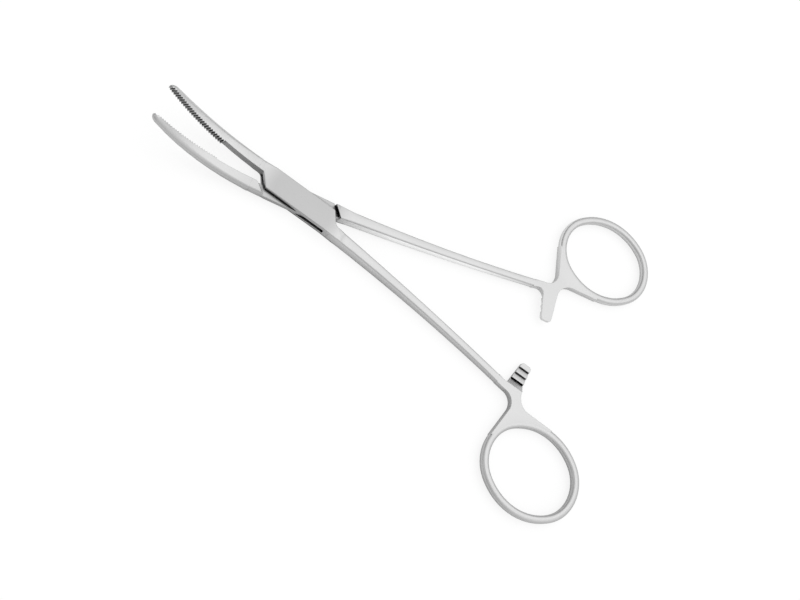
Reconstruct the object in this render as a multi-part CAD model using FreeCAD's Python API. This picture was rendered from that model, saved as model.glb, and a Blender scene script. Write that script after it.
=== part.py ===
import FreeCAD, Part
import math
import os

V = FreeCAD.Vector

# Curved, half-serrated box-lock haemostatic forceps with a ratchet and finger rings.
# Millimetres. Origin: on the lock pin's axis, on the underside of the box.
# +X runs along the bisector towards the rings, +Y towards the tang half's handle,
# +Z up along the pin, the way that the jaws curve.
# Each half is drawn closed, with its handle at +Y and its jaw at -Y.
# The box half is then mirrored, and both are swung open to the pose in which they lie.

# Pose: how far the two halves stand open
OPENING_DEG = 11.5

# Box lock
BOX_THICKNESS = 3.6
BOX_HALF_WIDTH = 3.15
BOX_HANDLE_SIDE = 2.95
BOX_EDGE_ROUND = 0.22
CHEEK_JAW_TIP_X = -9.4
CHEEK_JAW_ROOT_X = -11.9
CHEEK_RING_TIP_X = 7.7
CHEEK_RING_ROOT_X = 9.9
CHEEK_JAW_CORNER = 0.9
CHEEK_RING_CORNER = 0.6
CHEEK_RING_HOLLOW = 1.6
SHOULDER_GAP = 0.28
ROOT_OVERRUN = 3.2

# Tang in the slot of the box
TANG_THICKNESS = 1.4
TANG_SIDE_PLAY = 0.06
TANG_END_RADIUS = 8.4
TANG_END_PLAY = 0.2
TANG_BACK_Y = 2.9
TANG_FRONT_Y = 3.45

# Lock pin, ground flush with the box
PIN_RADIUS = 1.15
PIN_PLAY = 0.05

# Shank, from the box to the neck
SHANK_START_X = 9.5
SHANK_MID_X = 36.0
SHANK_END_X = 69.0
SHANK_INNER_START_Y = 0.15
SHANK_INNER_MID_Y = 2.85
SHANK_INNER_END_Y = 7.35
SHANK_START_WIDTH = 2.95
SHANK_MID_WIDTH = 2.15
SHANK_END_WIDTH = 2.1
SHANK_END_THICKNESS = 2.0
SHANK_CORNER_ROUND = 0.42
SHANK_STATIONS = 9
CORNER_STEPS = 3

# Finger ring
RING_CENTRE_X = 85.35
RING_CENTRE_Y = 23.55
RING_HOLE_LENGTH = 25.5
RING_HOLE_WIDTH = 20.4
RING_WIRE = 2.05
RING_THICKNESS = 2.05
RING_CORNER = 0.7

# Neck web between shank, ratchet arm and ring
WEB_THICKNESS = 2.0
WEB_OUTER_X = 73.0
WEB_OUTER_Y = 9.9
WEB_OUTER_HOLLOW = 3.4
WEB_INNER_Y = 11.1
WEB_INNER_HOLLOW = 4.1
WEB_START_DEG = 196
WEB_END_DEG = 268
WEB_FILL_STEPS = 8

# Ratchet arm
ARM_LEFT_X = 69.0
ARM_RIGHT_X = 73.45
ARM_TIP_NARROWING = 1.5
ARM_ROOT_Y = 7.3
ARM_TIP_Y = -0.2
UPPER_ARM_TIP_Y = -0.8
ARM_TIP_ROUND = 0.8
ARM_HOLLOW = 1.5
ARM_GAP = 0.12
TOOTH_COUNT = 3
TOOTH_PITCH = 1.86
TOOTH_DEPTH = 0.45
TOOTH_START = 1.4
TOOTH_STEEP_RUN = 0.15
TOOTH_LAND = 0.25

# Jaw
JAW_ROOT_X = -11.0
JAW_BEND_X = -13.0
JAW_BEND_RADIUS = 45.2
JAW_BEND_DEG = 37.1
JAW_ROOT_WIDTH = 3.0
JAW_MID_WIDTH = 2.6
JAW_TIP_WIDTH = 1.05
JAW_ROOT_HEIGHT = 3.5
JAW_NECK_HEIGHT = 2.5
JAW_TIP_HEIGHT = 2.05
JAW_NECK_RUN = 4.5
UNDERSIDE_START_X = -9.7
UNDERSIDE_END_X = -12.9
UNDERSIDE_RISE = 0.95
JAW_ROOT_CORNER = 0.5
JAW_TIP_ROUND = 1.5
JAW_STATIONS = 10
JAW_CLOSED_GAP = 0.08

# Serrations across the inner faces of the curved half of the jaws
SERRATION_COUNT = 27
SERRATION_PITCH = 0.72
SERRATION_DEPTH = 0.38
SERRATION_OVERRUN = 0.6
SMOOTH_FACE_RELIEF = 0.3

MID_Z = BOX_THICKNESS / 2
EPS = 0.001


# General helpers
def plate(points, z_low, z_high):
    """A flat plate from edges or corner points given as (x, y)."""
    corners = [V(x, y, z_low) for x, y in points]
    face = Part.Face(Part.makePolygon(corners + corners[:1]))
    return face.extrude(V(0, 0, z_high - z_low))


def outline_plate(edges, z_low, z_high):
    """A flat plate from a closed chain of edges drawn at z = 0."""
    face = Part.Face(Part.Wire(edges))
    face.translate(V(0, 0, z_low))
    return face.extrude(V(0, 0, z_high - z_low))


def softened(body, radius, points=None):
    """The same plate with its upper and lower rims rounded, all or those at some (x, y) points."""
    rims = []
    for edge in body.Edges:
        if edge.BoundBox.ZLength > EPS:
            continue
        z = edge.CenterOfMass.z
        touched = points is None or any(edge.distToShape(Part.Vertex(x, y, z))[0] < 0.02 for x, y in points)
        if touched:
            rims.append(edge)
    return body.makeFillet(radius, rims)


def line(start, end):
    return Part.LineSegment(V(*start, 0), V(*end, 0)).toShape()


def arc(start, through, end):
    return Part.Arc(V(*start, 0), V(*through, 0), V(*end, 0)).toShape()


def blend(start, middle, end, t):
    """A smooth curve of a size through its start, middle and end values."""
    return start * (1 - t) * (1 - 2 * t) + middle * 4 * t * (1 - t) + end * t * (2 * t - 1)


def rounded_outline(corners):
    """Edges of a closed outline. Each corner is (x, y, radius), and one of radius 0 stays sharp."""
    places = [V(x, y, 0) for x, y, radius in corners]
    entries = []
    exits = []
    edges = []
    for i, (x, y, radius) in enumerate(corners):
        here = places[i]
        back = (places[i - 1] - here).normalize()
        ahead = (places[(i + 1) % len(corners)] - here).normalize()
        half = back.getAngle(ahead) / 2
        run = radius / math.tan(half)
        entries.append(here + back * run)
        exits.append(here + ahead * run)
        if radius > 0:
            through = here + (back + ahead).normalize() * (radius / math.sin(half) - radius)
            edges.append(Part.Arc(entries[i], through, exits[i]).toShape())
    for i, start in enumerate(exits):
        end = entries[(i + 1) % len(corners)]
        if (end - start).Length > EPS:
            edges.append(Part.LineSegment(start, end).toShape())
    return Part.__sortEdges__(edges)


def corner_steps(start_deg, u, v, radius):
    """Points round one corner of a section, in equal steps."""
    points = []
    for k in range(CORNER_STEPS + 1):
        a = math.radians(start_deg + 90 * k / CORNER_STEPS)
        points.append((u + radius * math.cos(a), v + radius * math.sin(a)))
    return points


def section(origin, across, upward, points):
    """A closed section from points given as (across, upward)."""
    corners = [origin + across * u + upward * v for u, v in points]
    return Part.makePolygon(corners + corners[:1])


def rounded_section(origin, across, upward, width, height, radius):
    """A rounded rectangle from origin, width along across and height centred on it."""
    low = radius - height / 2
    points = corner_steps(-90, width - radius, low, radius)
    points += corner_steps(0, width - radius, -low, radius)
    points += corner_steps(90, radius, -low, radius)
    points += corner_steps(180, radius, low, radius)
    return section(origin, across, upward, points)


def half_round_section(origin, across, upward, width, height, radius):
    """The jaw's section: flat inner face, outer corners rounded."""
    low = radius - height / 2
    points = [(0, height / 2), (0, -height / 2)]
    points += corner_steps(-90, width - radius, low, radius)
    points += corner_steps(0, width - radius, -low, radius)
    return section(origin, across, upward, points)


# Shank
def shank_inner_y(x):
    t = (x - SHANK_START_X) / (SHANK_END_X - SHANK_START_X)
    middle = (SHANK_MID_X - SHANK_START_X) / (SHANK_END_X - SHANK_START_X)
    rise = SHANK_INNER_END_Y - SHANK_INNER_START_Y
    sag = SHANK_INNER_MID_Y - SHANK_INNER_START_Y - rise * middle
    return SHANK_INNER_START_Y + rise * t + sag * t * (1 - t) / (middle * (1 - middle))


def shank_width(x):
    t = (x - SHANK_START_X) / (SHANK_END_X - SHANK_START_X)
    return blend(SHANK_START_WIDTH, SHANK_MID_WIDTH, SHANK_END_WIDTH, t)


def shank_thickness(x):
    t = (x - SHANK_START_X) / (SHANK_END_X - SHANK_START_X)
    return BOX_THICKNESS + (SHANK_END_THICKNESS - BOX_THICKNESS) * t


def shank():
    sections = []
    for i in range(SHANK_STATIONS):
        x = SHANK_START_X + (SHANK_END_X - SHANK_START_X) * i / (SHANK_STATIONS - 1)
        origin = V(x, shank_inner_y(x), MID_Z)
        sections.append(rounded_section(origin, V(0, 1, 0), V(0, 0, 1), shank_width(x),
                                        shank_thickness(x), SHANK_CORNER_ROUND))
    return Part.makeLoft(sections, True, True)


# Finger ring and neck web
def ring_shape():
    """The oval's half axes and the radii of its tighter ends and flatter sides, on the wire's centre line."""
    long_half = (RING_HOLE_LENGTH + RING_WIRE) / 2
    short_half = (RING_HOLE_WIDTH + RING_WIRE) / 2
    chord = math.hypot(long_half, short_half)
    end_radius = chord / 2 * (chord - long_half + short_half) / long_half
    side_radius = chord / 2 * (chord + long_half - short_half) / short_half
    return long_half, short_half, end_radius, side_radius


def ring_centres():
    """Middles of the left end, right end, top side and bottom side arcs."""
    long_half, short_half, end_radius, side_radius = ring_shape()
    middle = V(RING_CENTRE_X, RING_CENTRE_Y, MID_Z)
    along = V(long_half - end_radius, 0, 0)
    across = V(0, side_radius - short_half, 0)
    return middle - along, middle + along, middle - across, middle + across


def ring_arc(centre, radius, start_deg, sweep_deg):
    """One arc of the ring's slightly flattened wire."""
    a = math.radians(start_deg)
    outward = V(math.cos(a), math.sin(a), 0)
    inner = centre + outward * (radius - RING_WIRE / 2)
    wire = rounded_section(inner, outward, V(0, 0, 1), RING_WIRE, RING_THICKNESS, RING_CORNER)
    return Part.Face(wire).revolve(centre, V(0, 0, 1), sweep_deg)


def finger_ring():
    """An oval of four tangent arcs: two tighter ends and two flatter sides."""
    long_half, short_half, end_radius, side_radius = ring_shape()
    left, right, top, bottom = ring_centres()
    half_end = math.degrees(math.atan2(side_radius - short_half, long_half - end_radius))
    arcs = [
        ring_arc(right, end_radius, -half_end, 2 * half_end),
        ring_arc(top, side_radius, half_end, 180 - 2 * half_end),
        ring_arc(left, end_radius, 180 - half_end, 2 * half_end),
        ring_arc(bottom, side_radius, 180 + half_end, 180 - 2 * half_end),
    ]
    return arcs[0].fuse(arcs[1:])


def tangent_point(x, y, centre, radius, side):
    """Where the line from (x, y) touches a circle, on its left (1) or right (-1) side."""
    away = math.atan2(y - centre.y, x - centre.x)
    turn = math.acos(radius / math.hypot(x - centre.x, y - centre.y))
    a = away + side * turn
    return (centre.x + radius * math.cos(a), centre.y + radius * math.sin(a))


def web():
    """The flat neck: it flows from the shank and the arm into the ring, up to the rim of its hole."""
    long_half, short_half, end_radius, side_radius = ring_shape()
    left, right, top, bottom = ring_centres()
    rim = RING_WIRE / 2 - 0.05
    hole = RING_WIRE / 2 - RING_CORNER
    start_x = SHANK_END_X - 3
    inner_x = SHANK_END_X - 3.2
    outer_touch = tangent_point(WEB_OUTER_X, WEB_OUTER_Y, left, end_radius + rim, -1)
    inner_touch = tangent_point(ARM_RIGHT_X, WEB_INNER_Y, bottom, side_radius + rim, 1)
    outline = [
        (start_x, shank_inner_y(start_x) + shank_width(start_x), 0),
        (WEB_OUTER_X, WEB_OUTER_Y, WEB_OUTER_HOLLOW),
        (*outer_touch, 0),
    ]
    for k in range(WEB_FILL_STEPS + 1):
        a = math.radians(WEB_START_DEG + (WEB_END_DEG - WEB_START_DEG) * k / WEB_FILL_STEPS)
        x = RING_CENTRE_X + (long_half - hole) * math.cos(a)
        y = RING_CENTRE_Y + (short_half - hole) * math.sin(a)
        outline.append((x, y, 0))
    outline += [
        (*inner_touch, 0),
        (ARM_RIGHT_X, WEB_INNER_Y, WEB_INNER_HOLLOW),
        (ARM_RIGHT_X, ARM_ROOT_Y, 0),
        (ARM_LEFT_X - ARM_HOLLOW, ARM_ROOT_Y, 0),
        (inner_x, shank_inner_y(inner_x), 0),
    ]
    return outline_plate(rounded_outline(outline), MID_Z - WEB_THICKNESS / 2, MID_Z + WEB_THICKNESS / 2)


# Ratchet arm
def arm(upper):
    """The arm on one side of the middle plane, with its teeth across that plane."""
    side = 1 if upper else -1
    root = shank_inner_y(ARM_LEFT_X)
    tip_y = UPPER_ARM_TIP_Y if upper else ARM_TIP_Y
    outline = [
        (ARM_LEFT_X - 2 * ARM_HOLLOW, root, 0),
        (ARM_LEFT_X, root, ARM_HOLLOW),
        (ARM_LEFT_X + ARM_TIP_NARROWING, tip_y, ARM_TIP_ROUND),
        (ARM_RIGHT_X, tip_y, ARM_TIP_ROUND),
        (ARM_RIGHT_X, root + 0.5, 0),
        (ARM_LEFT_X - 2 * ARM_HOLLOW, root + 0.5, 0),
    ]
    body = outline_plate(rounded_outline(outline), MID_Z - WEB_THICKNESS / 2, MID_Z + WEB_THICKNESS / 2)
    return body.cut(tooth_side(side))


def tooth_side(side):
    """All that is cut from the arm's toothed side: the saw teeth and the slope up to the neck."""
    crest = MID_Z + side * ARM_GAP / 2
    bottom = crest + side * TOOTH_DEPTH
    far = MID_Z - side * WEB_THICKNESS / 2
    clear = far - side
    profile = [(ARM_ROOT_Y, clear), (ARM_ROOT_Y, far)]
    for i in reversed(range(TOOTH_COUNT)):
        y = ARM_TIP_Y + TOOTH_START + i * TOOTH_PITCH
        profile += [(y + TOOTH_STEEP_RUN, bottom), (y, crest), (y - TOOTH_LAND, crest)]
    profile += [(UPPER_ARM_TIP_Y - 1, crest), (UPPER_ARM_TIP_Y - 1, clear)]
    corners = [V(ARM_LEFT_X - 4 * ARM_HOLLOW, y, z) for y, z in profile]
    face = Part.Face(Part.makePolygon(corners + corners[:1]))
    return face.extrude(V(ARM_RIGHT_X - ARM_LEFT_X + 8 * ARM_HOLLOW, 0, 0))


# Jaw
def jaw_length():
    return JAW_ROOT_X - JAW_BEND_X + JAW_BEND_RADIUS * math.radians(JAW_BEND_DEG)


def jaw_station(length):
    """Spine point, tangent and normal at a length from the jaw's root."""
    straight = JAW_ROOT_X - JAW_BEND_X
    turn = max(0.0, length - straight) / JAW_BEND_RADIUS
    run = min(length, straight)
    x = JAW_ROOT_X - run - JAW_BEND_RADIUS * math.sin(turn)
    z = MID_Z + JAW_BEND_RADIUS * (1 - math.cos(turn))
    tangent = V(-math.cos(turn), 0, math.sin(turn))
    normal = V(math.sin(turn), 0, math.cos(turn))
    return V(x, 0, z), tangent, normal


def crest_level():
    """How far the serration crests stand across the closed plane."""
    return SERRATION_DEPTH / 2 - JAW_CLOSED_GAP / 2


def jaw_neck(length):
    """1 at the jaw's root, falling to 0 where its underside has risen."""
    return max(0.0, 1 - length / JAW_NECK_RUN) ** 2


def jaw_height(length):
    slim = JAW_NECK_HEIGHT + (JAW_TIP_HEIGHT - JAW_NECK_HEIGHT) * length / jaw_length()
    return slim + (JAW_ROOT_HEIGHT - JAW_NECK_HEIGHT) * jaw_neck(length)


def jaw_blank():
    total = jaw_length()
    shoulder = total - JAW_TIP_ROUND
    stations = [shoulder * (i / JAW_STATIONS) ** 1.25 for i in range(JAW_STATIONS)]
    stations += [total - JAW_TIP_ROUND * (1 - u) for u in (0.0, 0.4, 0.7, 0.9, 0.985)]
    sections = []
    for s in stations:
        t = s / total
        u = max(0.0, 1 - (total - s) / JAW_TIP_ROUND)
        shrink = math.sqrt(1 - u * u)
        width = blend(JAW_ROOT_WIDTH, JAW_MID_WIDTH, JAW_TIP_WIDTH, t) * shrink
        height = jaw_height(s) * shrink
        limit = 0.92 * min(width, height / 2)
        corner = min(limit, JAW_ROOT_CORNER + (limit - JAW_ROOT_CORNER) * min(1.0, 2.2 * t))
        point, tangent, normal = jaw_station(s)
        lift = (JAW_ROOT_HEIGHT - JAW_NECK_HEIGHT) / 2 * (1 - jaw_neck(s))
        origin = V(point.x, crest_level(), point.z) + normal * lift
        sections.append(half_round_section(origin, V(0, -1, 0), normal, width + crest_level(), height, corner))
    return Part.makeLoft(sections, True, True)


def serrations(phase):
    """V grooves across the inner face, from past the tip back over the curve."""
    total = jaw_length()
    crest = crest_level()
    cuts = []
    for i in range(SERRATION_COUNT):
        s = total + SERRATION_OVERRUN - (i + phase) * SERRATION_PITCH
        point, tangent, normal = jaw_station(s)
        reach = normal * JAW_ROOT_HEIGHT
        mouth = SERRATION_PITCH / 2 * 1.02
        over = 0.02 * SERRATION_DEPTH
        corners = [point + tangent * mouth + V(0, crest + over, 0) - reach,
                   point - tangent * mouth + V(0, crest + over, 0) - reach,
                   point + V(0, crest - SERRATION_DEPTH, 0) - reach]
        face = Part.Face(Part.makePolygon(corners + corners[:1]))
        cuts.append(face.extrude(reach * 2))
    return Part.makeCompound(cuts)


def smooth_face_cut(phase):
    """Relief of the plain part of the inner face, behind the serrations."""
    total = jaw_length()
    end = total + SERRATION_OVERRUN - (SERRATION_COUNT - 0.5 + phase) * SERRATION_PITCH
    point, tangent, normal = jaw_station(end)
    low = -SMOOTH_FACE_RELIEF
    far = JAW_ROOT_X + 8
    x_axis = -tangent
    reach = normal * JAW_ROOT_HEIGHT
    start = V(point.x, 0, point.z) - reach * 1.5
    corners = [start + V(0, low, 0), start + V(0, crest_level() + 1, 0),
               start + x_axis * (far - point.x) * 1.3 + V(0, crest_level() + 1, 0),
               start + x_axis * (far - point.x) * 1.3 + V(0, low, 0)]
    face = Part.Face(Part.makePolygon(corners + corners[:1]))
    return face.extrude(reach * 6)


def underside_cut():
    """The rise of the underside from the flat box to the jaw."""
    reach = 3 * BOX_HALF_WIDTH
    far = JAW_ROOT_X - JAW_BEND_RADIUS
    profile = [(UNDERSIDE_START_X, -1), (UNDERSIDE_START_X, 0), (UNDERSIDE_END_X, UNDERSIDE_RISE),
               (far, UNDERSIDE_RISE), (far, -1)]
    corners = [V(x, -reach, z) for x, z in profile]
    face = Part.Face(Part.makePolygon(corners + corners[:1]))
    return face.extrude(V(0, 2 * reach, 0))


def jaw(phase):
    blank = jaw_blank()
    return blank.cut(serrations(phase)).cut(smooth_face_cut(phase))


# Handle: shank, neck, arm and ring in one
def handle(upper_arm):
    body = shank().fuse([web(), arm(upper_arm), finger_ring()])
    return body


# Box half
def cheek_outline():
    """Plan of the box, with its handle at +Y and its jaw at -Y."""
    root_x = SHANK_START_X + ROOT_OVERRUN
    w = BOX_HALF_WIDTH
    jaw_x = JAW_ROOT_X - ROOT_OVERRUN / 2
    return [
        (jaw_x, -JAW_ROOT_WIDTH, 0),
        (CHEEK_JAW_TIP_X, -w, 0),
        (CHEEK_RING_TIP_X, -w, CHEEK_RING_CORNER),
        (CHEEK_RING_ROOT_X, shank_inner_y(CHEEK_RING_ROOT_X), CHEEK_RING_HOLLOW),
        (root_x, shank_inner_y(root_x), 0),
        (root_x, shank_inner_y(root_x) + shank_width(root_x), 0),
        (SHANK_START_X - 2, BOX_HANDLE_SIDE, 0),
        (CHEEK_JAW_TIP_X, BOX_HANDLE_SIDE, 0),
        (CHEEK_JAW_ROOT_X, -SMOOTH_FACE_RELIEF, CHEEK_JAW_CORNER),
        (jaw_x, -SMOOTH_FACE_RELIEF, 0),
    ]


def slot():
    """The room in which the tang lies and swings."""
    low = MID_Z - TANG_THICKNESS / 2 - TANG_SIDE_PLAY
    high = MID_Z + TANG_THICKNESS / 2 + TANG_SIDE_PLAY
    disc = Part.makeCylinder(TANG_END_RADIUS + TANG_END_PLAY, high - low, V(0, 0, low))
    reach = CHEEK_JAW_ROOT_X - 2 * ROOT_OVERRUN
    far = 3 * BOX_HALF_WIDTH
    jaw_mouth = plate([(reach, -SMOOTH_FACE_RELIEF), (0, -SMOOTH_FACE_RELIEF), (0, far), (reach, far)], low, high)
    ring_mouth = plate([(0, -far), (-reach, -far), (-reach, 0), (0, 0)], low, high)
    return disc.fuse([jaw_mouth, ring_mouth])


def box_half():
    """One forging: jaw, slotted box, shank, ratchet arm and ring."""
    box = softened(outline_plate(rounded_outline(cheek_outline()), 0, BOX_THICKNESS), BOX_EDGE_ROUND)
    body = box.fuse([handle(False), jaw(0.0)])
    body = body.cut(slot()).cut(underside_cut())
    hole = Part.makeCylinder(PIN_RADIUS, BOX_THICKNESS + 2, V(0, 0, -1))
    return tidy(body.cut(hole)).mirror(V(0, 0, 0), V(0, 1, 0))


# Tang half
def shoulder_blocks():
    """Full-thickness roots of jaw and shank, outside the swing of the cheeks."""
    w = BOX_HALF_WIDTH
    gap = SHOULDER_GAP
    root_x = SHANK_START_X + ROOT_OVERRUN
    jaw_x = JAW_ROOT_X - ROOT_OVERRUN / 2
    jaw_root = [
        (jaw_x, -JAW_ROOT_WIDTH),
        (CHEEK_JAW_TIP_X - gap, -JAW_ROOT_WIDTH),
        (CHEEK_JAW_ROOT_X - gap, -SMOOTH_FACE_RELIEF),
        (jaw_x, -SMOOTH_FACE_RELIEF),
    ]
    shank_root = [
        (CHEEK_RING_TIP_X + gap, w),
        (CHEEK_RING_ROOT_X + gap, shank_inner_y(CHEEK_RING_ROOT_X + gap)),
        (root_x, shank_inner_y(root_x)),
        (root_x, shank_inner_y(root_x) + shank_width(root_x)),
    ]
    return plate(jaw_root, 0, BOX_THICKNESS), plate(shank_root, 0, BOX_THICKNESS)


def tang():
    """The thin waist that fills the slot, narrower behind the jaw."""
    low = MID_Z - TANG_THICKNESS / 2
    high = MID_Z + TANG_THICKNESS / 2
    disc = Part.makeCylinder(TANG_END_RADIUS, high - low, V(0, 0, low))
    reach = TANG_END_RADIUS + ROOT_OVERRUN
    relief = SMOOTH_FACE_RELIEF
    jaw_x = JAW_ROOT_X - ROOT_OVERRUN / 2
    root_x = SHANK_START_X + ROOT_OVERRUN
    strip = plate([(-reach, -TANG_BACK_Y), (reach, -TANG_BACK_Y), (reach, TANG_FRONT_Y), (-reach, TANG_FRONT_Y)],
                  low, high)
    to_jaw = plate([(jaw_x, -TANG_BACK_Y), (0, -TANG_BACK_Y), (0, -relief), (jaw_x, -relief)], low, high)
    to_shank = plate([(0, shank_inner_y(SHANK_START_X)), (root_x, shank_inner_y(root_x) + 0.2),
                      (root_x, BOX_HALF_WIDTH - 0.3), (SHANK_START_X, BOX_HALF_WIDTH), (0, TANG_FRONT_Y)], low, high)
    return disc.common(strip).fuse([to_jaw, to_shank])


def tang_half():
    """One forging: jaw, tang, shank, ratchet arm and ring."""
    jaw_root, shank_root = shoulder_blocks()
    keep_out = plate([
        (CHEEK_JAW_ROOT_X - SHOULDER_GAP, 2 * BOX_HALF_WIDTH),
        (CHEEK_JAW_ROOT_X - SHOULDER_GAP, -SMOOTH_FACE_RELIEF),
        (CHEEK_JAW_TIP_X - SHOULDER_GAP, -BOX_HALF_WIDTH),
        (CHEEK_JAW_TIP_X - SHOULDER_GAP, -2 * BOX_HALF_WIDTH),
        (CHEEK_RING_TIP_X + SHOULDER_GAP, -2 * BOX_HALF_WIDTH),
        (CHEEK_RING_ROOT_X + SHOULDER_GAP, -BOX_HALF_WIDTH),
        (CHEEK_RING_ROOT_X + SHOULDER_GAP, SHANK_INNER_START_Y),
        (CHEEK_RING_TIP_X + SHOULDER_GAP, BOX_HALF_WIDTH),
        (CHEEK_RING_TIP_X + SHOULDER_GAP, 2 * BOX_HALF_WIDTH),
    ], -1, BOX_THICKNESS + 1)
    limbs = handle(True).fuse([jaw(0.5), jaw_root, shank_root]).cut(keep_out).cut(underside_cut())
    body = limbs.fuse(tang())
    hole = Part.makeCylinder(PIN_RADIUS + PIN_PLAY, BOX_THICKNESS + 2, V(0, 0, -1))
    return tidy(body.cut(hole))


def lock_pin():
    return Part.makeCylinder(PIN_RADIUS, BOX_THICKNESS)


def swung(shape, degrees):
    turned = shape.copy()
    turned.rotate(V(0, 0, 0), V(0, 0, 1), degrees)
    return turned


def tidy(shape):
    """One clean solid from a fused shape."""
    merged = shape.removeSplitter()
    solids = merged.Solids
    return max(solids, key=lambda solid: solid.Volume)


def main():
    os.makedirs("parts", exist_ok=True)
    pieces = {
        "box_half": swung(box_half(), -OPENING_DEG / 2),
        "tang_half": swung(tang_half(), OPENING_DEG / 2),
        "lock_pin": lock_pin(),
    }
    for name, shape in pieces.items():
        shape.exportStep("parts/" + name + ".step")
        box = shape.BoundBox
        print(name, "valid", shape.isValid(), "solids", len(shape.Solids), "faces", len(shape.Faces),
              "volume %.1f" % shape.Volume,
              "x %.2f %.2f y %.2f %.2f z %.2f %.2f" % (box.XMin, box.XMax, box.YMin, box.YMax, box.ZMin, box.ZMax))


main()
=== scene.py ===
import bmesh
import bpy
import math
from mathutils import Euler, Matrix, Vector

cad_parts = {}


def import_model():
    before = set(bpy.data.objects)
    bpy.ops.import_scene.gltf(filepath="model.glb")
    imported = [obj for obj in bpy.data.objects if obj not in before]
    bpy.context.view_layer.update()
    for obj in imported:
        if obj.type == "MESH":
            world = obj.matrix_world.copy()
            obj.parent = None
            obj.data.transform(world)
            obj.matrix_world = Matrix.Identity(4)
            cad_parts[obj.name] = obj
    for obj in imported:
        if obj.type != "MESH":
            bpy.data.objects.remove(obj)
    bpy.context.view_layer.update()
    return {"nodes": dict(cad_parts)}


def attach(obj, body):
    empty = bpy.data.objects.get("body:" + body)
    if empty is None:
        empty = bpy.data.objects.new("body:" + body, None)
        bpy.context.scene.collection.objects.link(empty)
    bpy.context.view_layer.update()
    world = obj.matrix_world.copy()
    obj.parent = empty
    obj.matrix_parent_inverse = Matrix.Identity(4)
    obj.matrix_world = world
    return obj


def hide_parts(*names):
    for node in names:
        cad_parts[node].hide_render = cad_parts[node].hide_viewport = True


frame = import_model()

# Metres, unless a comment says otherwise. The frame is the forceps' own: origin at the lock
# pin on the underside of the box, +X towards the finger rings, +Z up. Stops are pairs of a
# place on a ramp and the value there.

# Camera, worked out from the outline, both rings, the shanks and the jaws
CAMERA_PLACE = (-0.03199, -0.10078, 0.21653)
CAMERA_TURN_DEG = (13.734, -24.185, 23.951)
CAMERA_LENS = 43.87
CAMERA_SENSOR = 36.0
CAMERA_NEAR = 0.005
CAMERA_FAR = 20

# Floor and background
FLOOR_HALF = 2.0
FLOOR_DROP = 0.00002
FLOOR_COLOUR = (0.82, 0.82, 0.82)
FLOOR_WHITE = 1.14
FLOOR_WHITE_SHARE = 0.72
# A glow painted on the floor that only reflections in the steel see: most between the shanks,
# less outside them and by the jaws and rings
REFLECTION_GLOW_ALONG_STOPS = [(0.002, 0.35), (0.014, 1.0), (0.050, 1.0), (0.072, 0.35)]
REFLECTION_GLOW_ACROSS = (-0.006, 0.002)
REFLECTION_GLOW_LEVELS = (0.24, 0.95)

# Steel. The noises are scale, detail and roughness.
STEEL_COLOUR = (0.635, 0.635, 0.635)
STEEL_DARK = (0.585, 0.585, 0.585)
STEEL_ROUGHNESS = (0.31, 0.42)
GRAIN_NOISE = (5200.0, 3.0, 0.6)
BRUSH_NOISE = (900.0, 4.0, 0.65)
PATCH_NOISE = (70.0, 3.0, 0.5)
BRUSH_STRETCH = 14.0
BRUSH_STOPS = [(0.3, 0.94), (0.7, 1.04)]
BRUSH_RANGE = (0.3, 0.7)
GRAIN_SHARE = 0.5
GRAIN_DEPTH = 0.000004
GRAIN_STRENGTH = 0.35

# Painted highlight along the edges, and the flush pin's rim that is kept out of it
EDGE_HIGHLIGHT_COLOUR = (0.84, 0.84, 0.84)
EDGE_SOFTNESS = 0.00016
EDGE_SAMPLES = 6
EDGE_HIGHLIGHT_STOPS = [(0.80, 1.0), (0.985, 0.0)]
PIN_MASK_RADIUS = 0.0017

# Shade in grooves and gaps, between teeth, and where pieces crowd. Web and ring of each
# half touch at the touch place, which stays free of it.
SHADE_SAMPLES = 8
# the near-black colour painted as shade in grooves and gaps
GROOVE_SHADE_COLOUR = (0.008, 0.008, 0.008)
GROOVE_REACH = 0.0011
GROOVE_STOPS = [(0.58, 1.0), (0.88, 0.0)]
TOOTH_REACH = 0.0009
TOOTH_STOPS = [(0.62, 1.0), (0.90, 0.0)]
CROWD_REACH = 0.008
CROWD_STOPS = [(0.30, 0.70), (0.76, 1.0)]
TOUCH_PLACE = (0.06794, 0.02945, 0.0)
TOUCH_RADIUS = 0.0022

# Painted shade: the jaws' inner faces, which look towards the middle plane, are darkened, and
# the box a little, out to a distance from the pin
INNER_FACE_SHADE_TONE = 0.58
INNER_FACE_START = -0.0115
INNER_FACE_TURN = -0.6
BOX_SHADE_REACH = (0.0075, 0.0125)
BOX_SHADE_TONES = (0.80, 1.0)

# Shapes are drawn closed, in millimetres, and turned by half the opening
TO_METRES = 0.001
HALF_OPENING_DEG = 5.75
CORNER_STEPS = 5
MERGE_REACH = 0.000001
SMOOTH_LIMIT_DEG = 33

# Jaw roots, ground to one line with the jaws: place along the half, half width, corner
# radius, and the levels of the top and the underside
ROOT_INNER_Y = 3.6
ROOT_MARGIN = 1.5
TANG_ROOT_NEAR = (-9.2, 2.97, 0.55, 3.55, 0.93)
TANG_ROOT_FAR = (-13.4, 2.95, 0.60, 3.53, 0.93)
BOX_ROOT_NEAR = (-9.3, 3.16, 0.24, 3.60, -1.0)
BOX_ROOT_FAR = (-13.4, 2.95, 0.60, 3.53, -1.0)

# Shank roots, rounded off to the shank's own section: place along the half, inner and
# outer edge, the levels of the underside and the top, and corner radius
SHANK_ROOT_FAR = (12.72, 0.44, 3.278, 0.042, 3.558, 0.42)
TANG_SHANK_NEAR = (8.6, -0.05, 3.19, -0.01, 3.61, 0.10)
BOX_SHANK_NEAR = (10.4, 0.10, 3.15, -0.004, 3.604, 0.16)
SLEEVE_SCALE = 1.9

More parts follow.
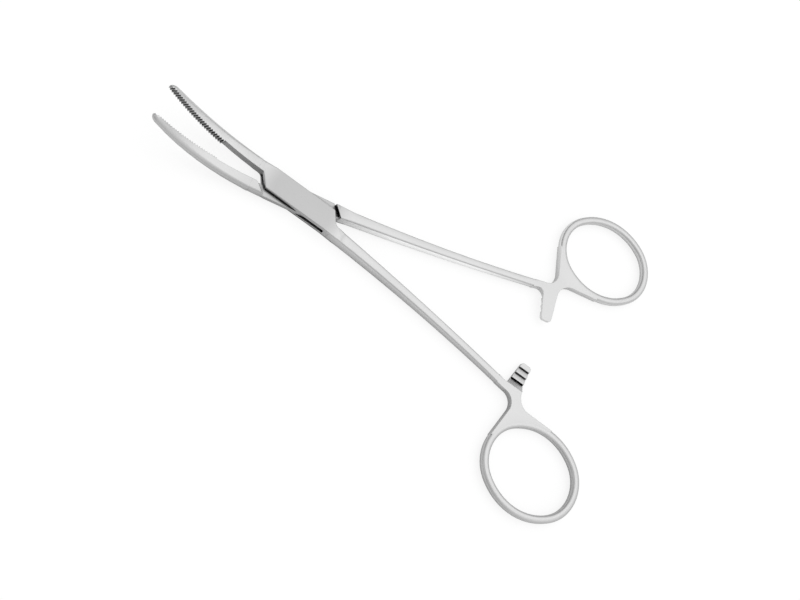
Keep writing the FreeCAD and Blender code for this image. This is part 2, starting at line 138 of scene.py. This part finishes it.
# Light. The lamps are place, target, width, height and radiance.
WORLD_LEVEL = 0.80
WORLD_HEIGHT_STOPS = [(0.0, 0.62), (0.25, 0.80), (1.0, 1.0)]
WORLD_EAST_STOPS = [(0.35, 0.78), (0.85, 1.30)]
KEY_LAMP = ((0.16, 0.30, 0.72), (0.03, 0, 0), 0.9, 0.7, 0.55)
FILL_LAMP = ((-0.55, -0.35, 0.55), (0, 0, 0), 0.5, 0.5, 0.35)


def new_material(name):
    mat = bpy.data.materials.new(name)
    mat.use_nodes = True
    nodes = mat.node_tree.nodes
    nodes.clear()
    return mat, nodes, mat.node_tree.links


def plug(links, inlet, value):
    """A socket is linked, a plain value is set on the inlet itself."""
    if isinstance(value, bpy.types.NodeSocket):
        links.new(value, inlet)
    else:
        inlet.default_value = value


def ramped(nodes, links, stops, value):
    node = nodes.new("ShaderNodeValToRGB")
    elements = node.color_ramp.elements
    while len(elements) < len(stops):
        elements.new(0.5)
    for element, (place, level) in zip(elements, stops):
        element.position = place
        element.color = (level, level, level, 1)
    links.new(value, node.inputs["Fac"])
    return node.outputs["Color"]


def mixed(nodes, links, kind, factor, a, b, blend="MIX"):
    """A colour, vector or float mix; factor, a and b are sockets or plain values."""
    node = nodes.new("ShaderNodeMix")
    node.data_type = kind
    node.blend_type = blend
    slots, outlet = {"FLOAT": ((0, 2, 3), 0), "VECTOR": ((0, 4, 5), 1),
                     "RGBA": ((0, 6, 7), 2)}[kind]
    for slot, value in zip(slots, (factor, a, b)):
        plug(links, node.inputs[slot], (*value, 1) if isinstance(value, tuple) else value)
    return node.outputs[outlet]


def maths(nodes, links, operation, *values):
    node = nodes.new("ShaderNodeMath")
    node.operation = operation
    for inlet, value in zip(node.inputs, values):
        plug(links, inlet, value)
    return node.outputs["Value"]


def vector_maths(nodes, links, operation, *values):
    """A vector sum; those that measure something give a plain value."""
    node = nodes.new("ShaderNodeVectorMath")
    node.operation = operation
    for inlet, value in zip(node.inputs, values):
        plug(links, inlet, value)
    measures = operation in ("LENGTH", "DISTANCE", "DOT_PRODUCT")
    return node.outputs["Value" if measures else "Vector"]


def remapped(nodes, links, value, source, target, kind="LINEAR"):
    node = nodes.new("ShaderNodeMapRange")
    node.interpolation_type = kind
    for name, limit in zip(("From Min", "From Max", "To Min", "To Max"), source + target):
        node.inputs[name].default_value = limit
    links.new(value, node.inputs["Value"])
    return node.outputs["Result"]


def separated(nodes, links, vector):
    node = nodes.new("ShaderNodeSeparateXYZ")
    links.new(vector, node.inputs[0])
    return node.outputs


def noise(nodes, links, vector, values):
    node = nodes.new("ShaderNodeTexNoise")
    for name, value in zip(("Scale", "Detail", "Roughness"), values):
        node.inputs[name].default_value = value
    links.new(vector, node.inputs["Vector"])
    return node.outputs["Fac"]


def shut_in(nodes, links, reach, stops, local=False):
    """How shut in a place is within a reach, by all pieces or by its own alone."""
    node = nodes.new("ShaderNodeAmbientOcclusion")
    node.samples = SHADE_SAMPLES
    node.only_local = local
    node.inputs["Distance"].default_value = reach
    return ramped(nodes, links, stops, node.outputs["AO"])


def inner_face_shade(nodes, links, point, normal):
    """Painted shade on the jaws' inner faces, which look towards the middle plane."""
    where = separated(nodes, links, point)
    side = maths(nodes, links, "SIGN", where["Y"])
    outward = maths(nodes, links, "MULTIPLY", side, separated(nodes, links, normal)["Y"])
    inner = maths(nodes, links, "LESS_THAN", outward, INNER_FACE_TURN)
    on_jaw = maths(nodes, links, "LESS_THAN", where["X"], INNER_FACE_START)
    shaded_inner = maths(nodes, links, "MULTIPLY", inner, on_jaw)
    return remapped(nodes, links, shaded_inner, (0.0, 1.0), (1.0, INNER_FACE_SHADE_TONE))


def satin_steel(name):
    """Satin stainless steel: fine grain, faint draw lines, a painted highlight along the edges,
    painted shade in grooves and gaps.
    """
    mat, nodes, links = new_material(name)
    out = nodes.new("ShaderNodeOutputMaterial")
    bsdf = nodes.new("ShaderNodeBsdfPrincipled")
    links.new(bsdf.outputs[0], out.inputs[0])
    bsdf.inputs["Metallic"].default_value = 1.0

    place = nodes.new("ShaderNodeTexCoord")
    point = place.outputs["Object"]
    stretch = nodes.new("ShaderNodeMapping")
    stretch.inputs["Scale"].default_value = (1.0, BRUSH_STRETCH, BRUSH_STRETCH)
    links.new(point, stretch.inputs["Vector"])
    grain = noise(nodes, links, point, GRAIN_NOISE)
    brush = noise(nodes, links, stretch.outputs["Vector"], BRUSH_NOISE)
    patch = noise(nodes, links, point, PATCH_NOISE)

    tone = mixed(nodes, links, "RGBA", patch, STEEL_DARK, STEEL_COLOUR)
    lines = ramped(nodes, links, BRUSH_STOPS, brush)
    tone = mixed(nodes, links, "RGBA", 1.0, tone, lines, "MULTIPLY")
    # painted shade on the jaws' inner faces
    inner = inner_face_shade(nodes, links, point, place.outputs["Normal"])
    tone = mixed(nodes, links, "RGBA", 1.0, tone, inner, "MULTIPLY")

    flat = vector_maths(nodes, links, "MULTIPLY", point, (1.0, 1.0, 0.0))
    from_pin = vector_maths(nodes, links, "LENGTH", flat)
    off_pin = maths(nodes, links, "GREATER_THAN", from_pin, PIN_MASK_RADIUS)

    # painted highlight along the edges, from how far the softened normal leaves the face's own
    shape = nodes.new("ShaderNodeNewGeometry")
    soft = nodes.new("ShaderNodeBevel")
    soft.samples = EDGE_SAMPLES
    soft.inputs["Radius"].default_value = EDGE_SOFTNESS
    normals = shape.outputs["Normal"], soft.outputs["Normal"]
    edge = ramped(nodes, links, EDGE_HIGHLIGHT_STOPS, vector_maths(nodes, links, "DOT_PRODUCT", *normals))
    painted_edge_highlight = maths(nodes, links, "MULTIPLY", edge, off_pin)
    # the edges are painted brighter here, as a highlight
    tone = mixed(nodes, links, "RGBA", painted_edge_highlight, tone, EDGE_HIGHLIGHT_COLOUR)

    crowd = shut_in(nodes, links, CROWD_REACH, CROWD_STOPS)
    # painted shade on the box, darker towards the pin
    box_shade = remapped(nodes, links, from_pin, BOX_SHADE_REACH, BOX_SHADE_TONES, "SMOOTHSTEP")
    shade = maths(nodes, links, "MULTIPLY", crowd, box_shade)
    tone = mixed(nodes, links, "RGBA", 1.0, tone, shade, "MULTIPLY")

    # painted shade, near black, in grooves and gaps
    groove = shut_in(nodes, links, GROOVE_REACH, GROOVE_STOPS)
    tooth = shut_in(nodes, links, TOOTH_REACH, TOOTH_STOPS, local=True)
    deep = maths(nodes, links, "MAXIMUM", groove, tooth)
    either_half = vector_maths(nodes, links, "ABSOLUTE", flat)
    from_touch = vector_maths(nodes, links, "DISTANCE", either_half, TOUCH_PLACE)
    off_touch = maths(nodes, links, "GREATER_THAN", from_touch, TOUCH_RADIUS)
    painted_groove_shade = maths(nodes, links, "MULTIPLY", deep, off_touch)
    tone = mixed(nodes, links, "RGBA", painted_groove_shade, tone, GROOVE_SHADE_COLOUR)
    links.new(tone, bsdf.inputs["Base Color"])

    rough = remapped(nodes, links, brush, BRUSH_RANGE, STEEL_ROUGHNESS)
    links.new(rough, bsdf.inputs["Roughness"])

    bump = nodes.new("ShaderNodeBump")
    bump.inputs["Strength"].default_value = GRAIN_STRENGTH
    bump.inputs["Distance"].default_value = GRAIN_DEPTH
    heights = mixed(nodes, links, "FLOAT", GRAIN_SHARE, grain, brush)
    links.new(heights, bump.inputs["Height"])
    links.new(mixed(nodes, links, "VECTOR", off_pin, *normals), bump.inputs["Normal"])
    links.new(bump.outputs["Normal"], bsdf.inputs["Normal"])
    return mat


def root_section(place):
    """All that lies outside the jaw's root at one place along it, as a closed outline."""
    x, half_width, corner, top, bottom = place
    points = [(ROOT_INNER_Y, bottom)]
    for level, start in ((bottom + corner, 270), (top - corner, 180)):
        for k in range(CORNER_STEPS + 1):
            a = math.radians(start - 90 * k / CORNER_STEPS)
            points.append((corner * math.cos(a) - half_width + corner,
                           corner * math.sin(a) + level))
    outer = -half_width - ROOT_MARGIN
    points += [(ROOT_INNER_Y, top), (ROOT_INNER_Y, top + ROOT_MARGIN),
               (outer, top + ROOT_MARGIN), (outer, bottom - ROOT_MARGIN),
               (ROOT_INNER_Y, bottom - ROOT_MARGIN)]
    return [Vector((x, y, z)) for y, z in points]


def shank_section(place):
    """The shank's rounded section at one place along it."""
    x, low_y, high_y, low_z, high_z, corner = place
    middles = ((high_y - corner, high_z - corner), (low_y + corner, high_z - corner),
               (low_y + corner, low_z + corner), (high_y - corner, low_z + corner))
    points = []
    for quarter, (y, z) in enumerate(middles):
        for k in range(CORNER_STEPS + 1):
            a = math.radians(90 * quarter + 90 * k / CORNER_STEPS)
            points.append(Vector((x, y + corner * math.cos(a), z + corner * math.sin(a))))
    return points


def placed(work, points, mirror):
    """Corners at points of the closed half, set where that half lies."""
    turn_deg = -HALF_OPENING_DEG if mirror else HALF_OPENING_DEG
    turn = Matrix.Rotation(math.radians(turn_deg), 4, "Z")
    side = -1 if mirror else 1
    return [work.verts.new(turn @ Vector((p.x, side * p.y, p.z)) * TO_METRES) for p in points]


def strip(work, first, second):
    """Faces between two closed rows of corners."""
    for i in range(len(first)):
        j = (i + 1) % len(first)
        work.faces.new((first[i], first[j], second[j], second[i]))


def as_trimmer(work):
    bmesh.ops.recalc_face_normals(work, faces=work.faces)
    mesh = bpy.data.meshes.new("trimmer")
    work.to_mesh(mesh)
    work.free()
    obj = bpy.data.objects.new("trimmer", mesh)
    bpy.context.collection.objects.link(obj)
    return obj


def root_trimmer(near, far, mirror):
    """A block that takes off what stands proud of the jaw's root."""
    work = bmesh.new()
    ends = [placed(work, root_section(place), mirror) for place in (near, far)]
    strip(work, *ends)
    for end in ends:
        work.faces.new(end)
    return as_trimmer(work)


def sleeve_trimmer(near, far, mirror):
    """A sleeve whose bore is the shank's own section, narrowing from the box."""
    work = bmesh.new()
    rows = []
    for place in (near, far):
        inside = shank_section(place)
        middle = sum(inside, Vector()) / len(inside)
        outside = [middle + (point - middle) * SLEEVE_SCALE for point in inside]
        rows.append((placed(work, inside, mirror), placed(work, outside, mirror)))
    (near_in, near_out), (far_in, far_out) = rows
    strip(work, near_in, far_in)
    strip(work, near_out, far_out)
    strip(work, near_in, near_out)
    strip(work, far_in, far_out)
    return as_trimmer(work)


def ground_half(node, body, trimmers):
    """The half as it leaves the grinder: the node's own shape, both roots in one line."""
    mesh = frame["nodes"][node].data.copy()
    work = bmesh.new()
    work.from_mesh(mesh)
    bmesh.ops.remove_doubles(work, verts=work.verts, dist=MERGE_REACH)
    work.to_mesh(mesh)
    work.free()
    piece = bpy.data.objects.new(node + "_ground", mesh)
    bpy.context.collection.objects.link(piece)
    for trimmer in trimmers:
        cut = piece.modifiers.new("ground", "BOOLEAN")
        cut.operation = "DIFFERENCE"
        cut.solver = "EXACT"
        cut.object = trimmer
    bpy.context.view_layer.update()
    ready = piece.evaluated_get(bpy.context.evaluated_depsgraph_get())
    piece_mesh = bpy.data.meshes.new_from_object(ready)
    piece.modifiers.clear()
    piece.data = piece_mesh
    for trimmer in trimmers:
        bpy.data.objects.remove(trimmer)
    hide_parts(node)
    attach(piece, body)
    return piece


def smooth(piece):
    """Rounded surfaces shade smoothly, corners stay crisp."""
    for face in piece.data.polygons:
        face.use_smooth = True
    joined = piece.modifiers.new("joined", "WELD")
    joined.merge_threshold = MERGE_REACH
    crisp = piece.modifiers.new("crisp", "EDGE_SPLIT")
    crisp.split_angle = math.radians(SMOOTH_LIMIT_DEG)


def finish_steel():
    steel = satin_steel("satin_steel_finish")
    pin = satin_steel("pin_steel_finish")
    box_trimmers = [root_trimmer(BOX_ROOT_NEAR, BOX_ROOT_FAR, True),
                    sleeve_trimmer(BOX_SHANK_NEAR, SHANK_ROOT_FAR, True)]
    tang_trimmers = [root_trimmer(TANG_ROOT_NEAR, TANG_ROOT_FAR, False),
                     sleeve_trimmer(TANG_SHANK_NEAR, SHANK_ROOT_FAR, False)]
    pieces = [
        (ground_half("box_half", "box_side", box_trimmers), steel),
        (ground_half("tang_half", "tang_side", tang_trimmers), steel),
        (frame["nodes"]["lock_pin"], pin),
    ]
    for piece, mat in pieces:
        for place in piece.material_slots:
            place.material = mat
        smooth(piece)


def floor():
    """A pale floor that reads as white, with a painted glow that only reflections in the steel
    see.
    """
    mesh = bpy.data.meshes.new("floor")
    h = FLOOR_HALF
    mesh.from_pydata([(-h, -h, 0), (h, -h, 0), (h, h, 0), (-h, h, 0)], [], [(0, 1, 2, 3)])
    obj = bpy.data.objects.new("floor", mesh)
    bpy.context.collection.objects.link(obj)
    obj.location.z = -FLOOR_DROP
    mat, nodes, links = new_material("floor_white")
    out = nodes.new("ShaderNodeOutputMaterial")
    matt = nodes.new("ShaderNodeBsdfDiffuse")
    matt.inputs["Color"].default_value = (*FLOOR_COLOUR, 1)
    path = nodes.new("ShaderNodeLightPath")
    where = separated(nodes, links, nodes.new("ShaderNodeTexCoord").outputs["Object"])
    # painted reflection: the floor glows for glossy rays alone, placed by position
    along = ramped(nodes, links, REFLECTION_GLOW_ALONG_STOPS, where["X"])
    across = remapped(nodes, links, where["Y"], REFLECTION_GLOW_ACROSS, REFLECTION_GLOW_LEVELS)
    reflection_glow_level = maths(nodes, links, "MULTIPLY", along, across)
    glossy_only_glow = maths(nodes, links, "MULTIPLY", path.outputs["Is Glossy Ray"], reflection_glow_level)
    glow = nodes.new("ShaderNodeEmission")
    links.new(glossy_only_glow, glow.inputs["Strength"])
    both = nodes.new("ShaderNodeAddShader")
    links.new(matt.outputs[0], both.inputs[0])
    links.new(glow.outputs[0], both.inputs[1])
    white = nodes.new("ShaderNodeEmission")
    white.inputs["Strength"].default_value = FLOOR_WHITE
    camera_ray = path.outputs["Is Camera Ray"]
    share = maths(nodes, links, "MULTIPLY", camera_ray, FLOOR_WHITE_SHARE)
    seen = nodes.new("ShaderNodeMixShader")
    links.new(share, seen.inputs[0])
    links.new(both.outputs[0], seen.inputs[1])
    links.new(white.outputs[0], seen.inputs[2])
    links.new(seen.outputs[0], out.inputs[0])
    mesh.materials.append(mat)


def world():
    """A grey studio all round, brighter overhead and towards +X."""
    sky = bpy.data.worlds.new("studio")
    bpy.context.scene.world = sky
    sky.use_nodes = True
    nodes = sky.node_tree.nodes
    links = sky.node_tree.links
    nodes.clear()
    out = nodes.new("ShaderNodeOutputWorld")
    ground = nodes.new("ShaderNodeBackground")
    towards = separated(nodes, links, nodes.new("ShaderNodeTexCoord").outputs["Generated"])
    height = ramped(nodes, links, WORLD_HEIGHT_STOPS, towards["Z"])
    eastward = maths(nodes, links, "MULTIPLY_ADD", towards["X"], 0.5, 0.5)
    east = ramped(nodes, links, WORLD_EAST_STOPS, eastward)
    colour = mixed(nodes, links, "RGBA", 1.0, height, east, "MULTIPLY")
    links.new(colour, ground.inputs["Color"])
    ground.inputs["Strength"].default_value = WORLD_LEVEL
    links.new(ground.outputs[0], out.inputs[0])


def soft_box(name, place, target, width, height, radiance):
    """A large soft lamp of plain radiance, aimed at a point."""
    lamp = bpy.data.lights.new(name, "AREA")
    lamp.shape = "RECTANGLE"
    lamp.size = width
    lamp.size_y = height
    lamp.energy = radiance * math.pi * width * height
    obj = bpy.data.objects.new(name, lamp)
    bpy.context.collection.objects.link(obj)
    obj.location = place
    aim = Vector(target) - Vector(place)
    obj.rotation_euler = aim.to_track_quat("-Z", "Y").to_euler()


def camera():
    cam = bpy.data.cameras.new("camera")
    cam.sensor_fit = "HORIZONTAL"
    cam.sensor_width = CAMERA_SENSOR
    cam.lens = CAMERA_LENS
    cam.clip_start = CAMERA_NEAR
    cam.clip_end = CAMERA_FAR
    obj = bpy.data.objects.new("camera", cam)
    bpy.context.collection.objects.link(obj)
    obj.location = CAMERA_PLACE
    obj.rotation_euler = Euler([math.radians(a) for a in CAMERA_TURN_DEG], "XYZ")
    bpy.context.scene.camera = obj


camera()
world()
soft_box("key", *KEY_LAMP)
soft_box("fill", *FILL_LAMP)
floor()
finish_steel()
bpy.context.scene.view_settings.view_transform = "Standard"
